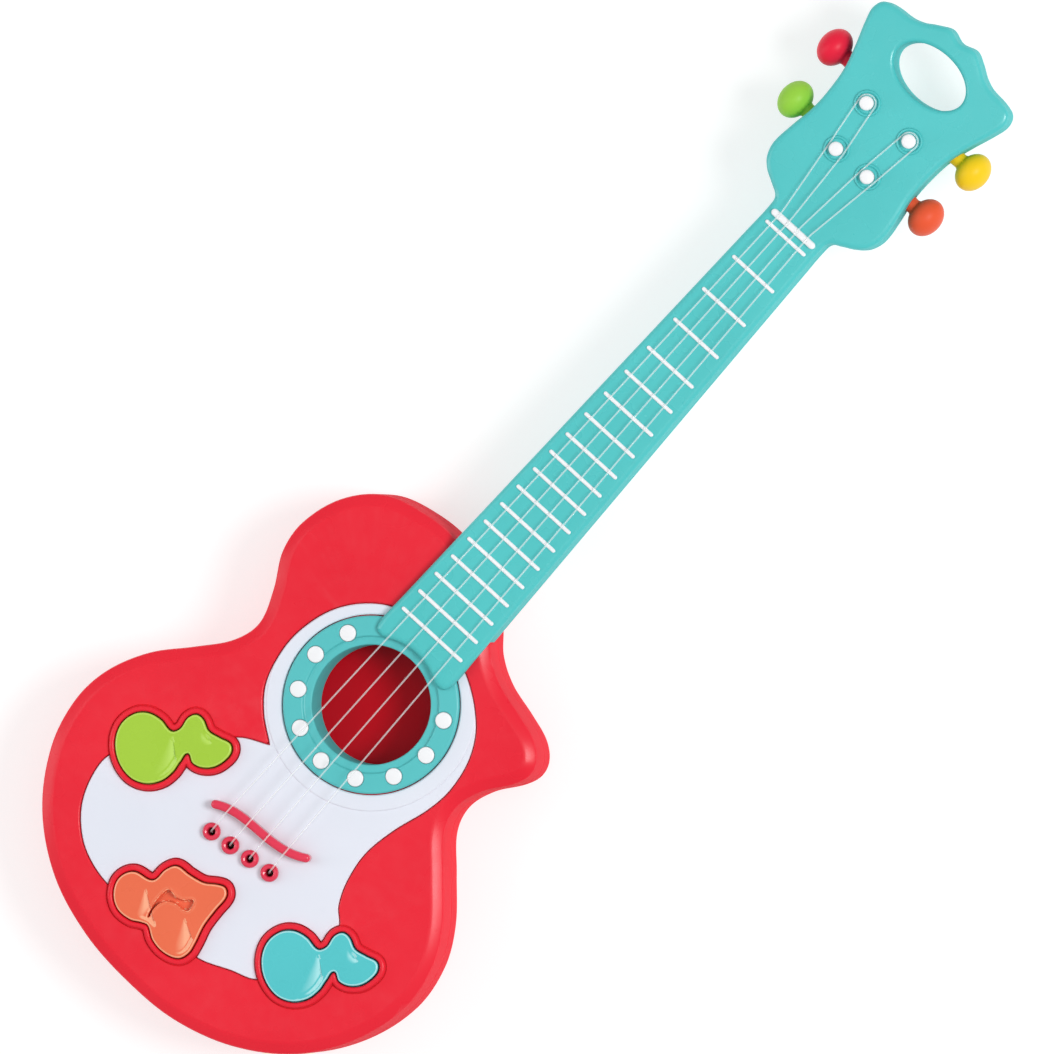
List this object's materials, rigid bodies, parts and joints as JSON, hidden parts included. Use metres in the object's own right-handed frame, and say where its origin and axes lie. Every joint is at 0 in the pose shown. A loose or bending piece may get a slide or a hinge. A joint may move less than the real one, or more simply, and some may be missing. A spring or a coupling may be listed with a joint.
{
  "type": "toy electric guitar",
  "caption": "Toddler's battery toy guitar with a cutaway body, sound hole, elastic strings, note-shaped press buttons, turning pegs and a carry-handle headstock.",
  "frame": {"origin": "on the flat back face, straight below the middle of the sound hole", "axes": "+Z out of the front, +Y up the neck to the headstock, +X to the right seen from the front"},
  "size_m": [0.1693, 0.4704, 0.0456],
  "materials": {
    "shell_red": "glossy moulded plastic",
    "saddle_red": "glossy moulded plastic, slightly pink red",
    "panel_white": "satin white plastic with a cool tint",
    "trim_white": "glossy white plastic",
    "neck_teal": "satin teal plastic",
    "button_green": "glossy lime plastic",
    "button_orange": "glossy orange plastic",
    "button_teal": "glossy teal plastic",
    "peg_red": "glossy plastic",
    "peg_yellow": "glossy plastic",
    "peg_green": "glossy plastic",
    "peg_orange": "glossy plastic",
    "elastic": "clear elastic cord",
    "dome_rubber": "grey silicone rubber",
    "board": "brown laminate",
    "chip_black": "black resin",
    "cone_paper": "black treated paper",
    "steel": "zinc-plated steel",
    "cell_jacket": "printed metal jacket",
    "lead_black": "soft insulation",
    "lead_red": "soft insulation"
  },
  "bodies": {
    "guitar": {"battery_cell_1": "cell_jacket", "battery_cell_2": "cell_jacket", "battery_cell_3": "cell_jacket", "battery_contact_lower": "steel", "battery_contact_upper": "steel", "battery_lead": "lead_red", "board_screw_1": "steel", "board_screw_2": "steel", "body_back_shell": "shell_red", "body_front_shell": "shell_red", "body_screw_1": "steel", "body_screw_2": "steel", "body_screw_3": "steel", "body_screw_4": "steel", "body_screw_5": "steel", "body_screw_6": "steel", "bridge_saddle": "saddle_red", "fret_strip": "trim_white", "key_board": "board", "neck_back_shell": "neck_teal", "neck_front_shell": "neck_teal", "neck_heel_screw": "steel", "neck_screw_1": "steel", "neck_screw_2": "steel", "neck_screw_3": "steel", "neck_screw_4": "steel", "nut": "trim_white", "pickguard_panel": "panel_white", "power_switch_body": "steel", "rosette_dots": "trim_white", "rosette_ring": "neck_teal", "rubber_dome_green": "dome_rubber", "rubber_dome_orange": "dome_rubber", "rubber_dome_teal": "dome_rubber", "sound_chip": "chip_black", "sound_well": "shell_red", "speaker_basket": "steel", "speaker_cone": "cone_paper", "speaker_lead": "lead_black", "string_loop_left": "elastic", "string_loop_right": "elastic", "string_pin_1": "saddle_red", "string_pin_2": "saddle_red", "string_pin_3": "saddle_red", "string_pin_4": "saddle_red", "string_post_lower_left": "trim_white", "string_post_lower_right": "trim_white", "string_post_upper_left": "trim_white", "string_post_upper_right": "trim_white"},
    "button_green": {"button_green": "button_green"},
    "button_orange": {"button_orange": "button_orange"},
    "button_teal": {"button_teal": "button_teal"},
    "peg_upper_left": {"tuning_peg_upper_left": "peg_red"},
    "peg_upper_right": {"tuning_peg_upper_right": "peg_yellow"},
    "peg_lower_left": {"tuning_peg_lower_left": "peg_green"},
    "peg_lower_right": {"tuning_peg_lower_right": "peg_orange"},
    "switch_slider": {"power_switch_slider": "trim_white"},
    "battery_door": {"battery_door": "shell_red", "battery_door_screw": "steel"}
  },
  "joints": [
    {"name": "press_green", "type": "slide", "parent": "guitar", "child": "button_green", "axis": [0, 0, -1], "range_m": [0, 0.002], "stiffness_N_per_m": 180, "deforming": ["rubber_dome_green"]},
    {"name": "press_orange", "type": "slide", "parent": "guitar", "child": "button_orange", "axis": [0, 0, -1], "range_m": [0, 0.002], "stiffness_N_per_m": 180, "deforming": ["rubber_dome_orange"]},
    {"name": "press_teal", "type": "slide", "parent": "guitar", "child": "button_teal", "axis": [0, 0, -1], "range_m": [0, 0.002], "stiffness_N_per_m": 180, "deforming": ["rubber_dome_teal"]},
    {"name": "turn_peg_upper_left", "type": "hinge", "parent": "guitar", "child": "peg_upper_left", "pos_m": [0, 0.2972, 0.0315], "axis": [1, 0, 0], "continuous": true},
    {"name": "turn_peg_upper_right", "type": "hinge", "parent": "guitar", "child": "peg_upper_right", "pos_m": [0, 0.2972, 0.0315], "axis": [1, 0, 0], "continuous": true},
    {"name": "turn_peg_lower_left", "type": "hinge", "parent": "guitar", "child": "peg_lower_left", "pos_m": [0, 0.273, 0.0315], "axis": [1, 0, 0], "continuous": true},
    {"name": "turn_peg_lower_right", "type": "hinge", "parent": "guitar", "child": "peg_lower_right", "pos_m": [0, 0.273, 0.0315], "axis": [1, 0, 0], "continuous": true},
    {"name": "slide_switch", "type": "slide", "parent": "guitar", "child": "switch_slider", "axis": [1, 0, 0], "range_m": [0, 0.008]},
    {"name": "lift_battery_door", "type": "slide", "parent": "guitar", "child": "battery_door", "axis": [0, 0, -1], "range_m": [0, 0.012]}
  ]
}
